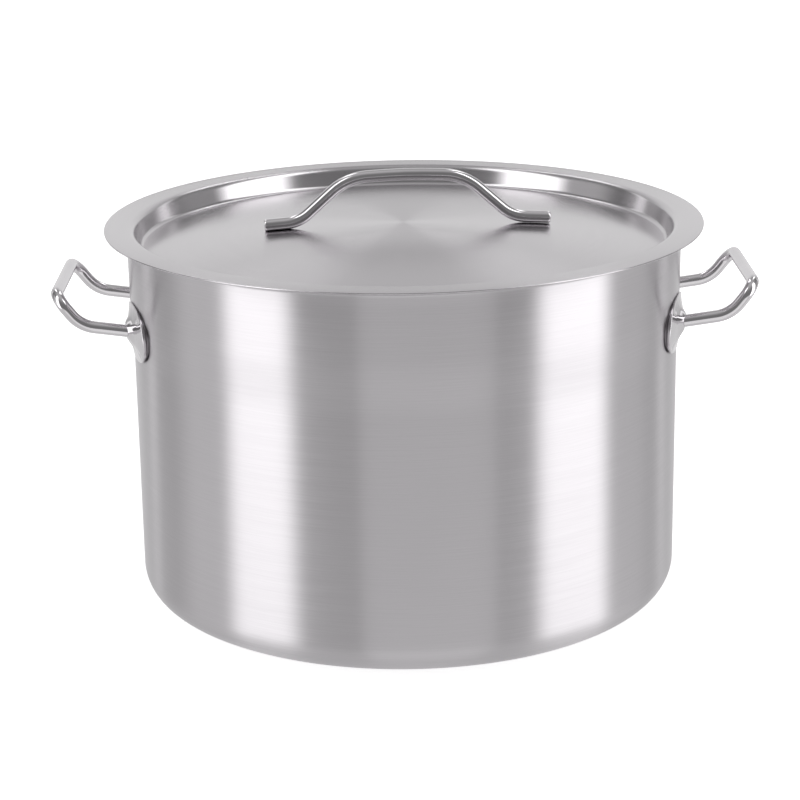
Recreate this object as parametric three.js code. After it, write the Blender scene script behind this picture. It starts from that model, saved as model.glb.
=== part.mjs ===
// A lidded stock pot, 36 cm across, in millimetres.
// +Z is up, X runs through the two side handles and Y from front to back. The origin is the middle of
// the face that stands on the hob.
import * as THREE from 'three';

// Pot
const POT_RADIUS = 180;
const SHEET = 1;
const FLOOR_CORNER_RADIUS = 20;
const BASE_HEIGHT = 5;
const RIM_PLANE = 255;
// The wall is straight up to the handles and opens a little above them.
const FLARE = [
  { height: 172, widening: 0 },
  { height: 212, widening: 1.4 },
  { height: 250.6, widening: 1.7 },
];
const LIP_RADIUS = 188.1;
const LIP_DROP = 1.9;
const LIP_BEND = 3;

// Sandwich base
const BASE_RADIUS = 150;
const CAP_SHEET = 0.8;
const CAP_BEND = 1.5;

// Lid
const LID_RADIUS = 196.2;
const DISH_TOP_RADIUS = 177.2;
const DISH_BOTTOM_RADIUS = 173.6;
const DISH_DEPTH = 14.3;
const DOME_DROP = 2.3;
const DISH_BEND = 4;

// Lid handle
const LID_ROD_RADIUS = 4;
const LID_LEFT_END = 93;
const LID_RIGHT_END = 95.7;
const LID_FOOT_START = 70.2;
const LID_GRIP_HALF_LENGTH = 38.2;
const LID_GRIP_RISE = 28.4;
const LID_GRIP_CROWN = 29.9;
const LID_FOOT_BEND = 24;
const LID_GRIP_BEND = 38;
const LID_CROWN_BEND = 300;
const LID_HANDLE_TURN = THREE.MathUtils.degToRad(3.4);
const LID_HANDLE_SHIFT = 1.4;

// Side handles
const ROD_RADIUS = 4;
const ARM_SPREAD = 48;
const ARM_HEIGHT = 194.3;
const ARM_RISE = 4.6;
const ARM_BEND_REACH = 210;
const CROSSBAR_REACH = 225.3;
const CROSSBAR_HEIGHT = 218.6;
const ROD_START = 176;
const ROD_BEND = 22;
const CORNER_BEND = 11;

// Handle brackets: oval pressed cups, each with a raised neck that the rod goes into
const BRACKET_HALF_WIDTH = 28.6;
const BRACKET_HALF_HEIGHT = 18.5;
const BRACKET_SHEET = 1.2;
const BRACKET_RIM_HEIGHT = 3.2;
const BRACKET_RIM_TUCK = 0.6;
const BRACKET_SHOULDER_HEIGHT = 4;
const BRACKET_SHOULDER_RADIUS = 10;
const NECK_HEIGHT = 6.2;
const NECK_WALL = 1.3;
const OVAL_SQUARENESS = 0.84;

// Clearance between pieces that touch
const GAP = 0.3;

// Facets
const ROUND_SEGMENTS = 60;
const BRACKET_SEGMENTS = 28;
const ROD_SIDES = 10;
const ROD_STEP = 4.6;
const CURVE_STEPS = 3;

const brushedSteel = () => new THREE.MeshStandardMaterial({ color: 0xb9b8bb, roughness: 0.34, metalness: 1 });
const polishedSteel = () => new THREE.MeshStandardMaterial({ color: 0xd6d5d8, roughness: 0.08, metalness: 1 });
const aluminium = () => new THREE.MeshStandardMaterial({ color: 0xc4c5c7, roughness: 0.45, metalness: 1 });

// A circular bend about a centre, from one point to another.
class Bend extends THREE.Curve {
  constructor(centre, from, to) {
    super();
    this.centre = centre;
    this.from = from.clone().sub(centre);
    this.to = to.clone().sub(centre);
    this.sweep = this.from.angleTo(this.to);
  }

  getPoint(t, target = new THREE.Vector3()) {
    const scale = 1 / Math.sin(this.sweep);
    target.copy(this.from).multiplyScalar(Math.sin((1 - t) * this.sweep) * scale);
    target.addScaledVector(this.to, Math.sin(t * this.sweep) * scale);
    return target.add(this.centre);
  }
}

// A line through the points, with each inner corner bent to its radius, or left sharp at radius 0.
function bentLine(points, radii) {
  const path = new THREE.CurvePath();
  let start = points[0];
  for (let i = 1; i < points.length - 1; i += 1) {
    if (radii[i - 1] === 0) {
      path.add(new THREE.LineCurve3(start, points[i]));
      start = points[i];
      continue;
    }
    const back = points[i - 1].clone().sub(points[i]).normalize();
    const ahead = points[i + 1].clone().sub(points[i]).normalize();
    const halfAngle = back.angleTo(ahead) / 2;
    const tangent = radii[i - 1] / Math.tan(halfAngle);
    const from = points[i].clone().addScaledVector(back, tangent);
    const to = points[i].clone().addScaledVector(ahead, tangent);
    const toCentre = back.clone().add(ahead).normalize();
    const centre = points[i].clone().addScaledVector(toCentre, radii[i - 1] / Math.sin(halfAngle));
    path.add(new THREE.LineCurve3(start, from));
    path.add(new Bend(centre, from, to));
    start = to;
  }
  path.add(new THREE.LineCurve3(start, points[points.length - 1]));
  return path;
}

// The points on one side of a line of points, a distance away from it.
function offsetLine(points, distance) {
  return points.map((point, i) => {
    const before = points[Math.max(i - 1, 0)];
    const after = points[Math.min(i + 1, points.length - 1)];
    const along = after.clone().sub(before).normalize();
    const side = new THREE.Vector2(-along.y, along.x).multiplyScalar(distance);
    return new THREE.Vector2(Math.max(point.x + side.x, 0), point.y + side.y);
  });
}

// A round pressing: sheet metal spun about Z, whose middle line runs from the axis to the edge.
function spunSheet(line, sheet) {
  const middle = line.getPoints(CURVE_STEPS).map((point) => new THREE.Vector2(point.x, point.y));
  const above = offsetLine(middle, sheet / 2);
  const below = offsetLine(middle, -sheet / 2);
  above[0].x = 0;
  below[0].x = 0;
  const profile = [...below, ...above.reverse()];
  return new THREE.LatheGeometry(profile, ROUND_SEGMENTS).rotateX(Math.PI / 2);
}

// A round rod along a path, cut square at both ends.
function rod(path, radius) {
  const section = new THREE.Shape();
  for (let i = 0; i < ROD_SIDES; i += 1) {
    const angle = (2 * Math.PI * i) / ROD_SIDES;
    const x = radius * Math.cos(angle);
    const y = radius * Math.sin(angle);
    if (i === 0) section.moveTo(x, y);
    else section.lineTo(x, y);
  }
  section.closePath();
  const steps = Math.round(path.getLength() / ROD_STEP);
  return new THREE.ExtrudeGeometry(section, { steps, extrudePath: path, bevelEnabled: false });
}

// The outer radius of the pot's wall at a height.
function wallRadius(height) {
  let widening = 0;
  for (let i = 1; i < FLARE.length; i += 1) {
    const low = FLARE[i - 1];
    const high = FLARE[i];
    const share = THREE.MathUtils.clamp((height - low.height) / (high.height - low.height), 0, 1);
    widening += (high.widening - low.widening) * share;
  }
  return POT_RADIUS + widening;
}

function potShell() {
  const half = SHEET / 2;
  const wall = FLARE.map(({ height }) => new THREE.Vector3(wallRadius(height) - half, height, 0));
  const floor = BASE_HEIGHT + half;
  const points = [
    new THREE.Vector3(0, floor, 0),
    new THREE.Vector3(POT_RADIUS - half, floor, 0),
    ...wall,
    new THREE.Vector3(LIP_RADIUS - half, RIM_PLANE - LIP_DROP, 0),
  ];
  return spunSheet(bentLine(points, [FLOOR_CORNER_RADIUS - half, 0, 0, LIP_BEND]), SHEET);
}

function baseCap() {
  const half = CAP_SHEET / 2;
  const points = [
    new THREE.Vector3(0, half, 0),
    new THREE.Vector3(BASE_RADIUS - half, half, 0),
    new THREE.Vector3(BASE_RADIUS - half, BASE_HEIGHT - GAP, 0),
  ];
  return spunSheet(bentLine(points, [CAP_BEND]), CAP_SHEET);
}

function baseCore() {
  const radius = BASE_RADIUS - CAP_SHEET - GAP;
  const bottom = CAP_SHEET + GAP;
  const height = BASE_HEIGHT - GAP - bottom;
  const chamfer = CAP_BEND - CAP_SHEET;
  const profile = [
    new THREE.Vector2(0, bottom),
    new THREE.Vector2(radius - chamfer, bottom),
    new THREE.Vector2(radius, bottom + chamfer),
    new THREE.Vector2(radius, bottom + height),
    new THREE.Vector2(0, bottom + height),
  ];
  return new THREE.LatheGeometry(profile, ROUND_SEGMENTS).rotateX(Math.PI / 2);
}

// The lid's top surface between its middle and the bottom of the dish.
function domeHeight(radius) {
  const fall = DISH_DEPTH - DOME_DROP;
  return RIM_PLANE - DOME_DROP - fall * (radius / DISH_BOTTOM_RADIUS) ** 2;
}

function domeSlope(radius) {
  return (-2 * (DISH_DEPTH - DOME_DROP) * radius) / DISH_BOTTOM_RADIUS ** 2;
}

function lidPan() {
  const half = SHEET / 2;
  const domeEdge = DISH_BOTTOM_RADIUS - DISH_BEND * 2;
  const middle = domeHeight(0) - half;
  const edge = domeHeight(domeEdge) - half;
  const bottom = domeHeight(DISH_BOTTOM_RADIUS) - half;
  const dome = new THREE.QuadraticBezierCurve3(
    new THREE.Vector3(0, middle, 0),
    new THREE.Vector3(domeEdge / 2, middle, 0),
    new THREE.Vector3(domeEdge, edge, 0),
  );
  const points = [
    new THREE.Vector3(domeEdge, edge, 0),
    new THREE.Vector3(DISH_BOTTOM_RADIUS, bottom, 0),
    new THREE.Vector3(DISH_TOP_RADIUS, RIM_PLANE - half, 0),
    new THREE.Vector3(LID_RADIUS, RIM_PLANE - half, 0),
  ];
  const line = bentLine(points, [DISH_BEND, DISH_BEND]);
  line.curves.unshift(dome);
  return spunSheet(line, SHEET);
}

// A rod that lies on the dome at both ends and rises to a slightly crowned grip.
function lidHandle() {
  const footMiddle = (LID_RIGHT_END + LID_FOOT_START) / 2;
  const slope = domeSlope(footMiddle);
  const stand = (LID_ROD_RADIUS + GAP) * Math.hypot(1, slope);
  const foot = (x) => domeHeight(footMiddle) + slope * (x - footMiddle) + stand;
  const half = (side, end) => [
    new THREE.Vector3(side * LID_GRIP_HALF_LENGTH, 0, RIM_PLANE + LID_GRIP_RISE),
    new THREE.Vector3(side * LID_FOOT_START, 0, foot(LID_FOOT_START)),
    new THREE.Vector3(side * end, 0, foot(end)),
  ];
  const crown = new THREE.Vector3(0, 0, RIM_PLANE + LID_GRIP_CROWN);
  const points = [...half(-1, LID_LEFT_END).reverse(), crown, ...half(1, LID_RIGHT_END)];
  const radii = [LID_FOOT_BEND, LID_GRIP_BEND, LID_CROWN_BEND, LID_GRIP_BEND, LID_FOOT_BEND];
  return rod(bentLine(points, radii), LID_ROD_RADIUS);
}

// A side handle on the +X side: two level arms that turn up to a crossbar.
function sideHandle() {
  const arm = (y) => [
    new THREE.Vector3(ROD_START, y, ARM_HEIGHT),
    new THREE.Vector3(ARM_BEND_REACH, y, ARM_HEIGHT + ARM_RISE),
    new THREE.Vector3(CROSSBAR_REACH, y, CROSSBAR_HEIGHT),
  ];
  const points = [...arm(-ARM_SPREAD), ...arm(ARM_SPREAD).reverse()];
  return rod(bentLine(points, [ROD_BEND, CORNER_BEND, CORNER_BEND, ROD_BEND]), ROD_RADIUS);
}

// The bracket's pressing as a section from its rim to its neck: distance from the middle, measured
// upwards, and height above the wall. The last point is the first again, so the section is closed.
function bracketSection() {
  const hole = ROD_RADIUS + GAP;
  const neck = hole + NECK_WALL;
  const rim = BRACKET_HALF_HEIGHT;
  const outside = [
    new THREE.Vector2(rim, 0),
    new THREE.Vector2(rim, BRACKET_RIM_HEIGHT - BRACKET_SHEET),
    new THREE.Vector2(rim - BRACKET_SHEET, BRACKET_RIM_HEIGHT),
    new THREE.Vector2(BRACKET_SHOULDER_RADIUS, BRACKET_SHOULDER_HEIGHT),
    new THREE.Vector2(neck, NECK_HEIGHT),
  ];
  const inside = [
    new THREE.Vector2(hole, NECK_HEIGHT),
    new THREE.Vector2(hole, BRACKET_SHOULDER_HEIGHT),
    new THREE.Vector2(BRACKET_SHOULDER_RADIUS, BRACKET_SHOULDER_HEIGHT - BRACKET_SHEET),
    new THREE.Vector2(rim - BRACKET_SHEET, BRACKET_RIM_HEIGHT - BRACKET_SHEET),
    new THREE.Vector2(rim - BRACKET_SHEET, 0),
  ];
  return [...outside, ...inside, outside[0].clone()];
}

// Blends from 0 at the neck to 1 at the rim, for a distance from the bracket's middle.
function towardsRim(distance) {
  return THREE.MathUtils.smoothstep(distance, ROD_RADIUS + GAP + NECK_WALL, BRACKET_HALF_HEIGHT);
}

// A bracket wrapped round the wall at one arm of the +X handle; side is -1 in front and 1 behind.
// Its rim stands square to the wall, higher at the end away from the handle's middle than all round the
// rest, and its neck leans to lie along the arm.
function bracket(side) {
  const seatRadius = wallRadius(ARM_HEIGHT) + GAP;
  const armAngle = Math.asin(ARM_SPREAD / seatRadius);
  const armSlope = ARM_RISE / (ARM_BEND_REACH - ROD_START);
  const seatHeight = ARM_HEIGHT - armSlope * (ROD_START - seatRadius * Math.cos(armAngle));
  const geometry = new THREE.LatheGeometry(bracketSection(), BRACKET_SEGMENTS).rotateX(Math.PI / 2);
  const place = geometry.attributes.position;
  for (let i = 0; i < place.count; i += 1) {
    const x = place.getX(i);
    const y = place.getY(i);
    const distance = Math.hypot(x, y);
    const outward = towardsRim(distance);
    const power = THREE.MathUtils.lerp(1, OVAL_SQUARENESS, outward);
    const neckWidth = distance / Math.cos(armAngle);
    const rimWidth = distance + BRACKET_HALF_WIDTH - BRACKET_HALF_HEIGHT;
    const across = THREE.MathUtils.lerp(neckWidth, rimWidth, outward);
    const u = across * Math.sign(x) * Math.abs(x / distance) ** power;
    const v = distance * Math.sign(y) * Math.abs(y / distance) ** power;
    const height = seatHeight + v;
    const angle = side * armAngle + u / POT_RADIUS;
    const radius = wallRadius(height) + GAP;
    const lowered = side * x > 0 ? (y / distance) ** 2 : 1;
    const lift = place.getZ(i) * (1 - BRACKET_RIM_TUCK * outward * lowered);
    const leanAngle = angle * outward;
    place.setXYZ(
      i,
      radius * Math.cos(angle) + lift * Math.cos(leanAngle),
      radius * Math.sin(angle) + lift * Math.sin(leanAngle),
      height + lift * armSlope * (1 - outward),
    );
  }
  return geometry;
}

function named(name, geometry, material) {
  const mesh = new THREE.Mesh(geometry, material);
  mesh.name = name;
  return mesh;
}

// A handle with its two brackets. The left one is the right one turned half round, so its front
// bracket is the one that was behind.
function handleGroup(sideName, turn) {
  const group = new THREE.Group();
  group.rotation.z = turn;
  const frontSide = turn === 0 ? -1 : 1;
  group.add(named(`handle_${sideName}`, sideHandle(), polishedSteel()));
  group.add(named(`bracket_${sideName}_front`, bracket(frontSide), polishedSteel()));
  group.add(named(`bracket_${sideName}_rear`, bracket(-frontSide), polishedSteel()));
  return group;
}

function potGroup() {
  const group = new THREE.Group();
  group.add(named('pot_shell', potShell(), brushedSteel()));
  group.add(named('base_core', baseCore(), aluminium()));
  group.add(named('base_cap', baseCap(), brushedSteel()));
  group.add(handleGroup('right', 0));
  group.add(handleGroup('left', Math.PI));
  return group;
}

function lidGroup() {
  const group = new THREE.Group();
  const handle = named('lid_handle', lidHandle(), polishedSteel());
  handle.rotation.z = LID_HANDLE_TURN;
  handle.position.x = LID_HANDLE_SHIFT;
  group.add(named('lid_pan', lidPan(), brushedSteel()));
  group.add(handle);
  return group;
}

const stockPot = new THREE.Group();
stockPot.add(potGroup());
stockPot.add(lidGroup());

export default stockPot;
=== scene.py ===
"""The looks of a lidded stock pot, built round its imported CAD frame.

Metres, +Z up, origin in the middle of the base, X through the two side handles.
"""

import math

import bpy
from mathutils import Matrix, Vector


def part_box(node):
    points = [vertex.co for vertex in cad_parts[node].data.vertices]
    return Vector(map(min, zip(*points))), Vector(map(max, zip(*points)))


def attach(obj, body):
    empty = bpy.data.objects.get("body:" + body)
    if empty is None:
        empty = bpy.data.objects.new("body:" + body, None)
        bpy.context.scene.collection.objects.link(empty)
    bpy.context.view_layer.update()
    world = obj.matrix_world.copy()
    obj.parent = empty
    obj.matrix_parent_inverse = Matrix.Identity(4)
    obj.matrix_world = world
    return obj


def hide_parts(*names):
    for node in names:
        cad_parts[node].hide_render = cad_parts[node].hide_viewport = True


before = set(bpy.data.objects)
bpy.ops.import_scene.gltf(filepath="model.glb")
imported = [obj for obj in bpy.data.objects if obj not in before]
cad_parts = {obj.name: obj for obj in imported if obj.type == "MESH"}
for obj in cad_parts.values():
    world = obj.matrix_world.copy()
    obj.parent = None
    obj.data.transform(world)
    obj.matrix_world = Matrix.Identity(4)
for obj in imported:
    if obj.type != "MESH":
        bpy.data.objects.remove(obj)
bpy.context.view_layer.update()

MM = 0.001

# Sizes that the frame gives
shell_low, shell_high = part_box("pot_shell")
cap_low, cap_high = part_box("base_cap")
pan_low, pan_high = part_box("lid_pan")
side_low, side_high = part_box("handle_right")

RIM_PLANE = pan_high.z
LID_RADIUS = pan_high.x
LIP_RADIUS = shell_high.x
LIP_TOP = shell_high.z
SHELL_BOTTOM = shell_low.z
BASE_RADIUS = cap_high.x

# Pot, lid and base sheet metal
SHEET = 1.0 * MM
CAP_SHEET = 0.8 * MM
CAP_BEND = 1.5 * MM
POT_RADIUS = 180 * MM
FLOOR_CORNER_RADIUS = 20 * MM
FLOOR_CORNER_RUNOUT = 4 * MM
# The wall widens towards the top: (height, widening)
FLARE = ((172 * MM, 0.0), (212 * MM, 1.4 * MM), (250.6 * MM, 1.7 * MM))
LIP_BEND = 3 * MM
DISH_TOP_RADIUS = 177.2 * MM
DISH_BOTTOM_RADIUS = 173.6 * MM
DISH_DEPTH = 14.3 * MM
DOME_DROP = 2.3 * MM
DISH_BEND = 4 * MM

# Rods
ROD_RADIUS = 4 * MM
ARM_SPREAD = side_high.y - ROD_RADIUS
ARM_HEIGHT = 194.3 * MM
ARM_RISE = 4.6 * MM
ARM_BEND_REACH = 210 * MM
CROSSBAR_REACH = side_high.x - ROD_RADIUS
CROSSBAR_HEIGHT = 218.6 * MM
ROD_START = 176 * MM
ROD_BEND = 22 * MM
CORNER_BEND = 11 * MM
LID_ROD_RADIUS = 4 * MM
LID_LEFT_END = 93 * MM
LID_RIGHT_END = 95.7 * MM
LID_FOOT_START = 70.2 * MM
LID_GRIP_HALF_LENGTH = 38.2 * MM
LID_GRIP_RISE = 28.4 * MM
LID_GRIP_CROWN = 29.9 * MM
LID_FOOT_BEND = 24 * MM
LID_GRIP_BEND = 38 * MM
LID_CROWN_BEND = 300 * MM
LID_HANDLE_TURN = math.radians(3.4)
LID_HANDLE_SHIFT = Vector((1.4 * MM, 0, 0))
END_CHAMFER = 0.5 * MM

# Brackets
BRACKET_HALF_HEIGHT = 18.5 * MM
BRACKET_HALF_WIDTH = 28.6 * MM
BRACKET_SHEET = 1.2 * MM
BRACKET_RIM_HEIGHT = 3.2 * MM
BRACKET_RIM_BEND = 0.55 * MM
BRACKET_RIM_GAP = 1.3 * MM
BRACKET_RIM_TUCK = 0.6
BRACKET_OVERHANG = 2 * MM
OVERHANG_BEND = 0.3 * MM
INSIDE_BEND = 0.6 * MM
SHOULDER_RADIUS = 10 * MM
SHOULDER_HEIGHT = 4 * MM
SHOULDER_BEND = 7 * MM
NECK_HEIGHT = 6.2 * MM
NECK_WALL = 1.3 * MM
NECK_BEND = 0.8 * MM
NECK_ROUNDING = 0.2 * MM
OVAL_SQUARENESS = 0.84
WELD_LUMP = 0.4 * MM
WELD_DIMPLE_RADIUS = 1.5 * MM
WELD_DIMPLE_DEPTH = 0.5 * MM
WELD_DIMPLE_ACROSS = 0.62
WELD_DIMPLE_UP = 0.6

# Camera
LENS = 105.9
CAMERA_ELEVATION = math.radians(17.12)
CAMERA_ROLL = math.radians(-0.86)
CAMERA_TURN = math.radians(-0.65)
CAMERA_DISTANCE = 8.81 * POT_RADIUS
CAMERA_TARGET = Vector((-0.0233 * POT_RADIUS, 0, RIM_PLANE - 0.694 * POT_RADIUS))

# Studio floor: half its width, its distance below the base, and its glow
FLOOR_HALF = 4.0
FLOOR_GAP = 0.2 * MM
FLOOR_PAPER_GLOW = 0.72

# Mesh fineness
ROUND_SEGMENTS = 288
DOME_STEPS = 24
FLARE_STEPS = 24
FLARE_STEP = 3 * MM
BEND_STEP = math.radians(7)
ROD_SIDES = 40
ROD_STEP = 2 * MM
BRACKET_SEGMENTS = 144
BRACKET_STEP = 1.2 * MM
EDGE_STEPS = 6


# ---------------------------------------------------------------- mesh code

def smoothstep(value, low, high):
    share = min(max((value - low) / (high - low), 0.0), 1.0)
    return share * share * (3 - 2 * share)


def new_piece(name, vertices, faces, material):
    mesh = bpy.data.meshes.new(name)
    mesh.from_pydata([tuple(v) for v in vertices], [], faces)
    mesh.validate()
    mesh.update()
    mesh.polygons.foreach_set("use_smooth", [True] * len(mesh.polygons))
    mesh.materials.append(material)
    piece = bpy.data.objects.new(name, mesh)
    bpy.context.scene.collection.objects.link(piece)
    return piece


def bent_line(points, radii, longest=None):
    """Points along a line, its inner corners rounded to the radii and its straight parts cut to longest."""
    line = [points[0]]

    def straight_to(end):
        start = line[-1]
        pieces = 1 if longest is None else max(1, math.ceil((end - start).length / longest))
        line.extend(start.lerp(end, i / pieces) for i in range(1, pieces + 1))

    for before, corner, after, radius in zip(points, points[1:], points[2:], radii):
        back = (before - corner).normalized()
        ahead = (after - corner).normalized()
        half_angle = back.angle(ahead) / 2
        centre = corner + (back + ahead).normalized() * (radius / math.sin(half_angle))
        start = corner + back * (radius / math.tan(half_angle))
        end = corner + ahead * (radius / math.tan(half_angle))
        straight_to(start)
        sweep = math.pi - 2 * half_angle
        steps = max(2, math.ceil(sweep / BEND_STEP))
        for i in range(1, steps + 1):
            a = math.sin((1 - i / steps) * sweep) / math.sin(sweep)
            b = math.sin(i / steps * sweep) / math.sin(sweep)
            line.append(centre + (start - centre) * a + (end - centre) * b)
    straight_to(points[-1])
    return line


def offset_line(line, distance):
    """A flat line moved sideways, to the left of its direction."""
    moved = []
    for i, point in enumerate(line):
        along = (line[min(i + 1, len(line) - 1)] - line[max(i - 1, 0)]).normalized()
        moved.append(point + Vector((-along.y, along.x)) * distance)
    return moved


def sheet_section(line, sheet):
    """The closed outline of sheet metal whose middle line runs from the axis to a rounded free edge."""
    above = offset_line(line, sheet / 2)
    below = offset_line(line, -sheet / 2)
    along = (line[-1] - line[-2]).normalized()
    side = Vector((-along.y, along.x))
    edge = []
    for i in range(1, EDGE_STEPS):
        turn = math.pi * (i / EDGE_STEPS - 0.5)
        edge.append(line[-1] + (along * math.cos(turn) + side * math.sin(turn)) * (sheet / 2))
    outline = below + edge + above[::-1]
    outline[0].x = 0
    outline[-1].x = 0
    return outline


def spin(name, outline, material):
    """Turns an outline of (distance from Z, height) points round Z. It starts and ends on the axis."""
    vertices = [Vector((0, 0, outline[0].y)), Vector((0, 0, outline[-1].y))]
    inner = outline[1:-1]
    for i in range(ROUND_SEGMENTS):
        angle = 2 * math.pi * i / ROUND_SEGMENTS
        vertices.extend(Vector((p.x * math.cos(angle), p.x * math.sin(angle), p.y)) for p in inner)
    count = len(inner)
    faces = []
    for i in range(ROUND_SEGMENTS):
        a = 2 + i * count
        b = 2 + (i + 1) % ROUND_SEGMENTS * count
        faces.append((0, b, a))
        faces.extend((a + k, b + k, b + k + 1, a + k + 1) for k in range(count - 1))
        faces.append((1, a + count - 1, b + count - 1))
    return new_piece(name, vertices, faces, material)


def rod(name, line, radius, material):
    """A round rod along a line of points, with a small chamfer at each end."""
    first = (line[1] - line[0]).normalized()
    last = (line[-1] - line[-2]).normalized()
    stations = [(line[0], radius - END_CHAMFER), (line[0] + first * END_CHAMFER, radius)]
    stations += [(point, radius) for point in line[1:-1]]
    stations += [(line[-1] - last * END_CHAMFER, radius), (line[-1], radius - END_CHAMFER)]
    side = first.orthogonal().normalized()
    vertices = []
    for i, (centre, size) in enumerate(stations):
        ahead = stations[min(i + 1, len(stations) - 1)][0]
        behind = stations[max(i - 1, 0)][0]
        along = (ahead - behind).normalized()
        side = (side - along * side.dot(along)).normalized()
        up = along.cross(side)
        for k in range(ROD_SIDES):
            angle = 2 * math.pi * k / ROD_SIDES
            vertices.append(centre + (side * math.cos(angle) + up * math.sin(angle)) * size)
    faces = []
    for i in range(len(stations) - 1):
        for k in range(ROD_SIDES):
            a = i * ROD_SIDES + k
            b = i * ROD_SIDES + (k + 1) % ROD_SIDES
            faces.append((a, b, b + ROD_SIDES, a + ROD_SIDES))
    ends = [(stations[0][0], 0), (stations[-1][0], (len(stations) - 1) * ROD_SIDES)]
    for at_end, (centre, ring) in enumerate(ends):
        middle = len(vertices)
        vertices.append(centre)
        for k in range(ROD_SIDES):
            a = ring + k
            b = ring + (k + 1) % ROD_SIDES
            faces.append((middle, a, b) if at_end else (middle, b, a))
    return new_piece(name, vertices, faces, material)


# ---------------------------------------------------------------- shader code

class Graph:
    """Shader nodes written as expressions: a number or a socket goes in, a socket comes out."""

    def __init__(self, tree):
        self.tree = tree
        tree.nodes.clear()

    def node(self, kind, inputs=None, **settings):
        made = self.tree.nodes.new(kind)
        for key, value in settings.items():
            setattr(made, key, value)
        for key, value in (inputs or {}).items():
            if isinstance(value, bpy.types.NodeSocket):
                self.tree.links.new(value, made.inputs[key])
            else:
                made.inputs[key].default_value = value
        return made

    def math(self, operation, a, b=0.0):
        return self.node("ShaderNodeMath", {0: a, 1: b}, operation=operation).outputs[0]

    def add(self, a, b):
        return self.math("ADD", a, b)

    def multiply(self, a, b):
        return self.math("MULTIPLY", a, b)

    def ramp(self, value, low, high, to_low=0.0, to_high=1.0, smooth=True):
        """value from low to high, mapped to to_low to to_high and held beyond."""
        kind = "SMOOTHSTEP" if smooth else "LINEAR"
        made = self.node("ShaderNodeMapRange", interpolation_type=kind, clamp=True)
        self.tree.links.new(value, made.inputs["Value"])
        for key, number in zip(("From Min", "From Max", "To Min", "To Max"), (low, high, to_low, to_high)):
            made.inputs[key].default_value = number
        return made.outputs["Result"]

    def window(self, value, low, high, soft):
        """1 between low and high, 0 outside, with soft edges."""
        up = self.ramp(value, low - soft / 2, low + soft / 2)
        down = self.ramp(value, high - soft / 2, high + soft / 2, 1.0, 0.0)
        return self.multiply(up, down)

    def noise(self, vector, scale, detail=2.0, roughness=0.5):
        inputs = {"Vector": vector, "Scale": scale, "Detail": detail, "Roughness": roughness}
        return self.node("ShaderNodeTexNoise", inputs).outputs["Fac"]

    def vector(self, x, y, z):
        return self.node("ShaderNodeCombineXYZ", {"X": x, "Y": y, "Z": z}).outputs[0]

    def place(self):
        """The point's X, Y and Z in metres."""
        coordinates = self.node("ShaderNodeTexCoord").outputs["Object"]
        split = self.node("ShaderNodeSeparateXYZ", {0: coordinates}).outputs
        return coordinates, split[0], split[1], split[2]

    def tint(self, value, dark, light):
        inputs = {0: value, 6: (*dark, 1), 7: (*light, 1)}
        return self.node("ShaderNodeMix", inputs, data_type="RGBA").outputs[2]


def new_material(name):
    material = bpy.data.materials.new(name)
    material.use_nodes = True
    return material, Graph(material.node_tree)


def turned_place(graph, along, across):
    """Coordinates for marks in rings about Z: few features along them and many across, per metre."""
    place, x, y, z = graph.place()
    radius = graph.math("SQRT", graph.add(graph.multiply(x, x), graph.multiply(y, y)))
    round_x = graph.multiply(graph.math("DIVIDE", x, radius), along)
    round_y = graph.multiply(graph.math("DIVIDE", y, radius), along)
    return graph.vector(round_x, round_y, graph.multiply(graph.add(radius, z), across))


def turned_steel(name, dark, light, roughness, spread, line_depth):
    """Steel brushed in rings about Z. The marks stretch its highlights across the rings."""
    material, graph = new_material(name)
    fine = graph.noise(turned_place(graph, 4.0, 1700.0), 1.0, 3.0, 0.6)
    broad = graph.noise(turned_place(graph, 2.0, 160.0), 1.0, 2.0)
    place = graph.place()[0]
    patches = graph.noise(place, 9.0, 3.0)
    marks = graph.add(graph.multiply(fine, 0.65), graph.multiply(broad, 0.35))
    tone = graph.ramp(graph.add(graph.multiply(marks, 0.8), graph.multiply(patches, 0.2)), 0.35, 0.65)
    rough = graph.ramp(marks, 0.3, 0.7, roughness - spread, roughness + spread)
    bump = graph.node("ShaderNodeBump", {"Height": fine, "Strength": 0.3, "Distance": line_depth})
    tangent = graph.node("ShaderNodeTangent", direction_type="RADIAL", axis="Z")
    shader = graph.node("ShaderNodeBsdfPrincipled", {
        "Base Color": graph.tint(tone, dark, light),
        "Metallic": 1.0,
        "Roughness": rough,
        "Anisotropic": 1.0,
        "Anisotropic Rotation": 0.25,
        "Normal": bump.outputs[0],
        "Tangent": tangent.outputs[0],
    })
    graph.node("ShaderNodeOutputMaterial", {"Surface": shader.outputs[0]})
    return material


def polished_steel(name, wave_scale, wave_height):
    """Mirror-polished rod or pressing, with faint buffing marks and soft unevenness."""
    material, graph = new_material(name)
    place = graph.place()[0]
    waves = graph.noise(place, wave_scale, 1.0)
    scratches = graph.noise(place, 1400.0, 3.0, 0.65)
    smears = graph.noise(place, 26.0, 4.0)
    tone = graph.ramp(graph.add(graph.multiply(smears, 0.7), graph.multiply(scratches, 0.3)), 0.3, 0.7)
    rough = graph.ramp(smears, 0.35, 0.7, 0.05, 0.11)
    height = graph.add(waves, graph.multiply(scratches, 0.02))
    bump = graph.node("ShaderNodeBump", {"Height": height, "Strength": 0.25, "Distance": wave_height})
    shader = graph.node("ShaderNodeBsdfPrincipled", {
        "Base Color": graph.tint(tone, (0.70, 0.68, 0.70), (0.76, 0.74, 0.76)),
        "Metallic": 1.0,
        "Roughness": rough,
        "Normal": bump.outputs[0],
    })
    graph.node("ShaderNodeOutputMaterial", {"Surface": shader.outputs[0]})
    return material


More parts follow.
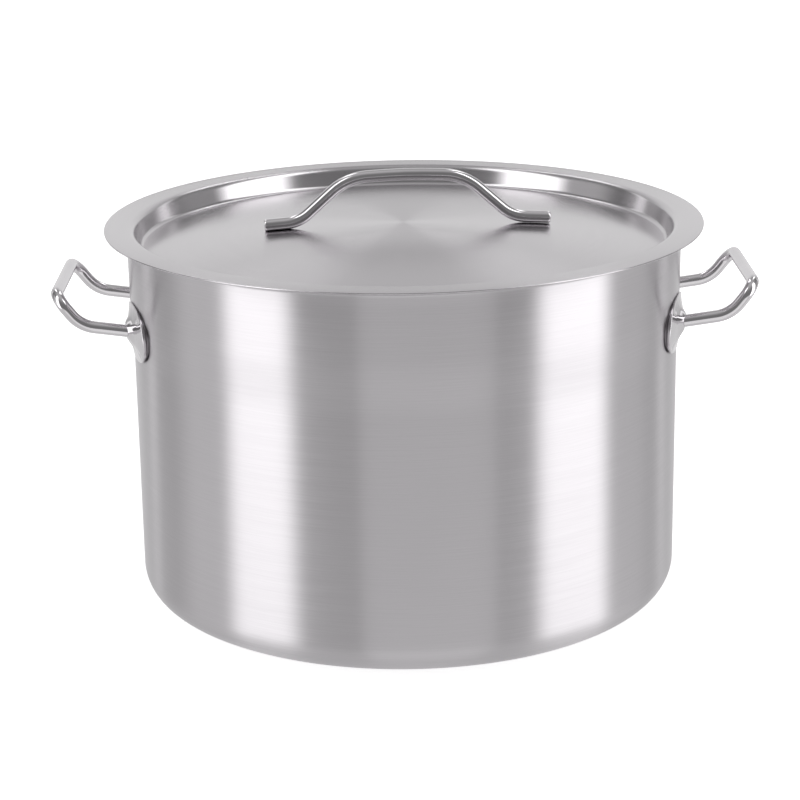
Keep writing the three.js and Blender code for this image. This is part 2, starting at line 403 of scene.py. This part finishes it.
def rolled_aluminium():
    """The heat-spreading disc, sealed inside the base."""
    material, graph = new_material("rolled_aluminium")
    grain = graph.noise(turned_place(graph, 30.0, 30.0), 1.0, 4.0)
    shader = graph.node("ShaderNodeBsdfPrincipled", {
        "Base Color": graph.tint(grain, (0.70, 0.70, 0.71), (0.80, 0.80, 0.81)),
        "Metallic": 1.0,
        "Roughness": graph.ramp(grain, 0.2, 0.8, 0.38, 0.52),
    })
    graph.node("ShaderNodeOutputMaterial", {"Surface": shader.outputs[0]})
    return material


def floor_paper():
    """A white studio floor that glows, as an evenly lit paper sweep does."""
    material, graph = new_material("floor_paper")
    place = graph.place()[0]
    fibre = graph.noise(place, 40.0, 3.0)
    shader = graph.node("ShaderNodeBsdfPrincipled", {
        "Base Color": graph.tint(fibre, (0.80, 0.80, 0.80), (0.83, 0.83, 0.83)),
        "Roughness": 0.9,
        "Specular IOR Level": 0.0,
        "Emission Color": (1.0, 1.0, 1.0, 1.0),
        "Emission Strength": FLOOR_PAPER_GLOW,
    })
    graph.node("ShaderNodeOutputMaterial", {"Surface": shader.outputs[0]})
    return material


# ---------------------------------------------------------------- the pot

def wall_radius(height):
    """The wall's outer radius: straight, then an eased widening, then a straight one up to the lip."""
    (start, _), (middle, middle_wide), (end, end_wide) = FLARE
    share = min(max((height - middle) / (end - middle), 0.0), 1.0)
    return POT_RADIUS + middle_wide * smoothstep(height, start, middle) + (end_wide - middle_wide) * share


def pot_shell(material):
    half = SHEET / 2
    floor_height = SHELL_BOTTOM + half
    corner = bent_line(
        [
            Vector((0, floor_height)),
            Vector((POT_RADIUS - half, floor_height)),
            Vector((POT_RADIUS - half, floor_height + FLOOR_CORNER_RADIUS + FLOOR_CORNER_RUNOUT)),
        ],
        [FLOOR_CORNER_RADIUS - half],
    )
    wall_start = FLARE[0][0]
    wall_end = FLARE[-1][0]
    heights = [wall_start + i * FLARE_STEP for i in range(FLARE_STEPS)]
    wall = [Vector((wall_radius(height) - half, height)) for height in heights]
    lip = bent_line(
        [
            wall.pop(),
            Vector((wall_radius(wall_end) - half, wall_end)),
            Vector((LIP_RADIUS - half, LIP_TOP - half)),
        ],
        [LIP_BEND],
    )
    return spin("pot_body", sheet_section(corner + wall + lip, SHEET), material)


def base_cap(material):
    half = CAP_SHEET / 2
    line = bent_line(
        [
            Vector((0, half)),
            Vector((BASE_RADIUS - half, half)),
            Vector((BASE_RADIUS - half, SHELL_BOTTOM - half)),
        ],
        [CAP_BEND],
    )
    return spin("base_capsule", sheet_section(line, CAP_SHEET), material)


def dome_height(radius):
    """The height of the lid's domed top, inside its dish."""
    return RIM_PLANE - DOME_DROP - (DISH_DEPTH - DOME_DROP) * (radius / DISH_BOTTOM_RADIUS) ** 2


def lid_pan(material):
    half = SHEET / 2
    dome_edge = DISH_BOTTOM_RADIUS - 2 * DISH_BEND
    radii = [dome_edge * i / DOME_STEPS for i in range(DOME_STEPS)]
    dome = [Vector((radius, dome_height(radius) - half)) for radius in radii]
    rim = bent_line(
        [
            Vector((dome_edge, dome_height(dome_edge) - half)),
            Vector((DISH_BOTTOM_RADIUS, dome_height(DISH_BOTTOM_RADIUS) - half)),
            Vector((DISH_TOP_RADIUS, RIM_PLANE - half)),
            Vector((LID_RADIUS - half, RIM_PLANE - half)),
        ],
        [DISH_BEND, DISH_BEND],
    )
    return spin("lid_plate", sheet_section(dome + rim, SHEET), material)


def lid_handle(material):
    """A rod whose two feet lie along the dome, with a grip that crowns slightly."""
    middle = (LID_RIGHT_END + LID_FOOT_START) / 2
    slope = -2 * (DISH_DEPTH - DOME_DROP) * middle / DISH_BOTTOM_RADIUS ** 2
    stand = LID_ROD_RADIUS * math.hypot(1, slope)

    def foot(x):
        return dome_height(middle) + slope * (x - middle) + stand

    def half(side, end):
        return [
            Vector((side * LID_GRIP_HALF_LENGTH, 0, RIM_PLANE + LID_GRIP_RISE)),
            Vector((side * LID_FOOT_START, 0, foot(LID_FOOT_START))),
            Vector((side * end, 0, foot(end))),
        ]

    crown = Vector((0, 0, RIM_PLANE + LID_GRIP_CROWN))
    points = half(-1, LID_LEFT_END)[::-1] + [crown] + half(1, LID_RIGHT_END)
    bends = [LID_FOOT_BEND, LID_GRIP_BEND, LID_CROWN_BEND, LID_GRIP_BEND, LID_FOOT_BEND]
    turn = Matrix.Rotation(LID_HANDLE_TURN, 3, "Z")
    line = [turn @ p + LID_HANDLE_SHIFT for p in bent_line(points, bends, ROD_STEP)]
    return rod("lid_grip", line, LID_ROD_RADIUS, material)


def side_handle(name, turn, material):
    """Two arms, a little above level, that turn up to a crossbar."""
    def arm(y):
        return [
            Vector((ROD_START, y, ARM_HEIGHT)),
            Vector((ARM_BEND_REACH, y, ARM_HEIGHT + ARM_RISE)),
            Vector((CROSSBAR_REACH, y, CROSSBAR_HEIGHT)),
        ]

    points = arm(-ARM_SPREAD) + arm(ARM_SPREAD)[::-1]
    line = bent_line(points, [ROD_BEND, CORNER_BEND, CORNER_BEND, ROD_BEND], ROD_STEP)
    return rod(name, [turn @ p for p in line], ROD_RADIUS, material)


def bracket_section():
    """A bracket's skin outside, from rim to neck, and inside, back to the rim.

    Points are (distance from the middle, height off the wall).
    """
    neck = ROD_RADIUS + NECK_WALL
    rim = BRACKET_HALF_HEIGHT
    skirt = rim - BRACKET_OVERHANG
    outside = bent_line(
        [
            Vector((skirt, 0)),
            Vector((skirt, BRACKET_RIM_GAP)),
            Vector((rim, BRACKET_RIM_GAP)),
            Vector((rim, BRACKET_RIM_HEIGHT)),
            Vector((SHOULDER_RADIUS, SHOULDER_HEIGHT)),
            Vector((neck, NECK_HEIGHT)),
            Vector((ROD_RADIUS, NECK_HEIGHT + NECK_ROUNDING)),
        ],
        [OVERHANG_BEND, OVERHANG_BEND, BRACKET_RIM_BEND, SHOULDER_BEND, NECK_BEND],
        BRACKET_STEP,
    )
    inside = bent_line(
        [
            Vector((ROD_RADIUS, SHOULDER_HEIGHT)),
            Vector((SHOULDER_RADIUS, SHOULDER_HEIGHT - BRACKET_SHEET)),
            Vector((skirt - BRACKET_SHEET, BRACKET_RIM_HEIGHT - BRACKET_SHEET)),
            Vector((skirt - BRACKET_SHEET, 0)),
        ],
        [INSIDE_BEND, INSIDE_BEND],
    )
    return outside, inside


def bracket(name, side, turn, material):
    """An oval cup wrapped round the wall at one arm of the +X handle, its neck leaning along the arm.

    Its rim stands higher at the end away from the handle's middle than all round the rest.
    """
    seat_radius = wall_radius(ARM_HEIGHT)
    arm_angle = math.asin(ARM_SPREAD / seat_radius)
    slope = ARM_RISE / (ARM_BEND_REACH - ROD_START)
    seat_height = ARM_HEIGHT - slope * (ROD_START - seat_radius * math.cos(arm_angle))
    neck = ROD_RADIUS + NECK_WALL
    outside, inside = bracket_section()
    rows = outside + inside
    dimples = [
        (across * WELD_DIMPLE_ACROSS * BRACKET_HALF_WIDTH, up * WELD_DIMPLE_UP * BRACKET_HALF_HEIGHT)
        for across in (-1, 1) for up in (-1, 1)
    ]
    vertices = []
    for i, row in enumerate(rows):
        distance, lift = row
        outward = smoothstep(distance, neck, BRACKET_HALF_HEIGHT)
        power = 1 + (OVAL_SQUARENESS - 1) * outward
        neck_width = distance / math.cos(arm_angle)
        rim_width = distance + BRACKET_HALF_WIDTH - BRACKET_HALF_HEIGHT
        width = neck_width + (rim_width - neck_width) * outward
        for k in range(BRACKET_SEGMENTS):
            phase = 2 * math.pi * k / BRACKET_SEGMENTS
            c = math.cos(phase)
            s = math.sin(phase)
            u = width * math.copysign(abs(c) ** power, c)
            v = distance * math.copysign(abs(s) ** power, s)
            lowered = s * s if side * c > 0 else 1
            raised = lift * (1 - BRACKET_RIM_TUCK * outward * lowered)
            if i < len(outside):
                lump = math.cos(3 * phase + side) + 0.7 * math.cos(5 * phase + 2 * side)
                lump *= WELD_LUMP * (1 - outward) * smoothstep(distance, ROD_RADIUS, neck)
                u += lump * c
                v += lump * s
                raised += lump * outward
                for du, dv in dimples:
                    near = math.hypot(u - du, v - dv) / WELD_DIMPLE_RADIUS
                    raised -= WELD_DIMPLE_DEPTH * math.exp(-near * near)
            angle = side * arm_angle + u / POT_RADIUS
            lean = angle * outward
            height = seat_height + v
            radius = wall_radius(height)
            vertices.append(turn @ Vector((
                radius * math.cos(angle) + raised * math.cos(lean),
                radius * math.sin(angle) + raised * math.sin(lean),
                height + raised * slope * (1 - outward),
            )))
    faces = []
    for i in range(len(rows)):
        a = i * BRACKET_SEGMENTS
        b = (i + 1) % len(rows) * BRACKET_SEGMENTS
        for k in range(BRACKET_SEGMENTS):
            k_next = (k + 1) % BRACKET_SEGMENTS
            faces.append((a + k, a + k_next, b + k_next, b + k))
    return new_piece(name, vertices, faces, material)


# ---------------------------------------------------------------- studio

def camera():
    round_z = Matrix.Rotation(CAMERA_TURN, 3, "Z")
    back = round_z @ Vector((0, -math.cos(CAMERA_ELEVATION), math.sin(CAMERA_ELEVATION)))
    right = round_z @ Vector((1, 0, 0))
    up = back.cross(right)
    rolled_right = right * math.cos(CAMERA_ROLL) + up * math.sin(CAMERA_ROLL)
    rolled_up = up * math.cos(CAMERA_ROLL) - right * math.sin(CAMERA_ROLL)
    data = bpy.data.cameras.new("camera")
    data.lens = LENS
    data.clip_end = 50
    made = bpy.data.objects.new("camera", data)
    turn = Matrix((rolled_right, rolled_up, back)).transposed().to_4x4()
    made.matrix_world = Matrix.Translation(CAMERA_TARGET + back * CAMERA_DISTANCE) @ turn
    bpy.context.scene.collection.objects.link(made)
    bpy.context.scene.camera = made


def floor():
    corners = [(x * FLOOR_HALF, y * FLOOR_HALF, -FLOOR_GAP) for x, y in ((-1, -1), (1, -1), (1, 1), (-1, 1))]
    made = new_piece("floor", corners, [(0, 1, 2, 3)], floor_paper())
    made.visible_glossy = False


# Light panels round the pot, in degrees: azimuth of the middle from the camera's side (right is positive),
# width, softness of the sides, lowest and highest elevation, and brightness over the room's own.
PANELS = (
    (-150, 14, 5, 40, 62, 2.60),
    (-130, 8, 6, -10, 24, 0.70),
    (-91, 30, 18, -18, 30, 0.36),
    (-63, 30, 11, -19, 66, 2.00),
    (8, 57, 2, -60, -6, 0.23),
    (71.5, 34, 11, -19, 66, 1.97),
    (101, 32, 16, -60, 30, 0.17),
    (130, 8, 6, -10, 24, 0.70),
    (150, 14, 5, 40, 62, 2.60),
)
PANEL_SOFT = 12

# Light from the rest of the room, and the elevations or azimuths in degrees between which each part changes
ROOM_GLOW = 0.20
FLOOR_GLOW = 0.48
FLOOR_FADE = (-14, -2)
CEILING_GLOW = 0.32
CEILING_RISE = (30, 85)
BACKDROP_GLOW = 0.74
BACKDROP_ROOM_SHARE = 0.3
BACKDROP_SIDES = (102, 168)
BACKDROP_FADE = (20, 80)


def studio_light():
    """A bright floor, a dark room with side panels, a lit backdrop behind the pot and a dim soft ceiling."""
    world = bpy.data.worlds.new("studio")
    bpy.context.scene.world = world
    world.use_nodes = True
    graph = Graph(world.node_tree)
    direction = graph.node("ShaderNodeTexCoord").outputs["Generated"]
    split = graph.node("ShaderNodeSeparateXYZ", {0: direction}).outputs
    azimuth = graph.multiply(graph.math("ARCTAN2", split[0], graph.multiply(split[1], -1.0)), 180 / math.pi)
    elevation = graph.multiply(graph.math("ARCSINE", split[2]), 180 / math.pi)
    floor_light = graph.ramp(elevation, *FLOOR_FADE, FLOOR_GLOW, 0.0)
    ceiling_light = graph.ramp(elevation, *CEILING_RISE, 0.0, CEILING_GLOW)
    light = graph.add(graph.add(floor_light, ceiling_light), ROOM_GLOW)
    behind = graph.ramp(graph.math("ABSOLUTE", azimuth), *BACKDROP_SIDES)
    backdrop = graph.multiply(graph.ramp(elevation, *BACKDROP_FADE, BACKDROP_GLOW, 0.0), behind)
    light = graph.math("MAXIMUM", light, graph.add(backdrop, ROOM_GLOW * BACKDROP_ROOM_SHARE))
    for middle, width, soft, low, high, glow in PANELS:
        panel = graph.window(azimuth, middle - width / 2, middle + width / 2, soft)
        panel = graph.multiply(panel, graph.window(elevation, low, high, PANEL_SOFT))
        light = graph.add(light, graph.multiply(panel, glow))
    camera_ray = graph.node("ShaderNodeLightPath").outputs["Is Camera Ray"]
    lit = graph.multiply(light, graph.math("SUBTRACT", 1.0, camera_ray))
    shown = graph.add(camera_ray, lit)
    background = graph.node("ShaderNodeBackground", {"Strength": shown, "Color": (1.0, 1.0, 1.0, 1.0)})
    graph.node("ShaderNodeOutputWorld", {"Surface": background.outputs[0]})


# ---------------------------------------------------------------- build

def finish_piece(piece, body, slot, *nodes):
    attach(piece, body)
    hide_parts(*nodes)


wall_steel = turned_steel("wall_steel", (0.61, 0.59, 0.61), (0.66, 0.64, 0.66), 0.30, 0.02, 0.004 * MM)
lid_steel = turned_steel("lid_steel", (0.62, 0.60, 0.62), (0.65, 0.63, 0.65), 0.19, 0.015, 0.002 * MM)
base_steel = turned_steel("base_steel", (0.55, 0.53, 0.55), (0.64, 0.62, 0.64), 0.36, 0.05, 0.02 * MM)
rod_steel = polished_steel("rod_steel", 60.0, 0.12 * MM)
pressed_steel = polished_steel("pressed_steel", 130.0, 0.85 * MM)

camera()
floor()
studio_light()

finish_piece(pot_shell(wall_steel), "pot", "pot_steel", "pot_shell")
finish_piece(base_cap(base_steel), "pot", "base_steel", "base_cap")
finish_piece(lid_pan(lid_steel), "lid", "lid_steel", "lid_pan")
finish_piece(lid_handle(rod_steel), "lid", "polished_steel", "lid_handle")

for hand, half_turn in (("right", 0.0), ("left", math.pi)):
    turn = Matrix.Rotation(half_turn, 3, "Z")
    front = -1 if hand == "right" else 1
    handle = side_handle(f"side_grip_{hand}", turn, rod_steel)
    finish_piece(handle, "pot", "polished_steel", f"handle_{hand}")
    for end, side in (("front", front), ("rear", -front)):
        cup = bracket(f"cup_{hand}_{end}", side, turn, pressed_steel)
        finish_piece(cup, "pot", "polished_steel", f"bracket_{hand}_{end}")

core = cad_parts["base_core"]
core.data.materials.clear()
core.data.materials.append(rolled_aluminium())

bpy.context.scene.view_settings.view_transform = "Standard"
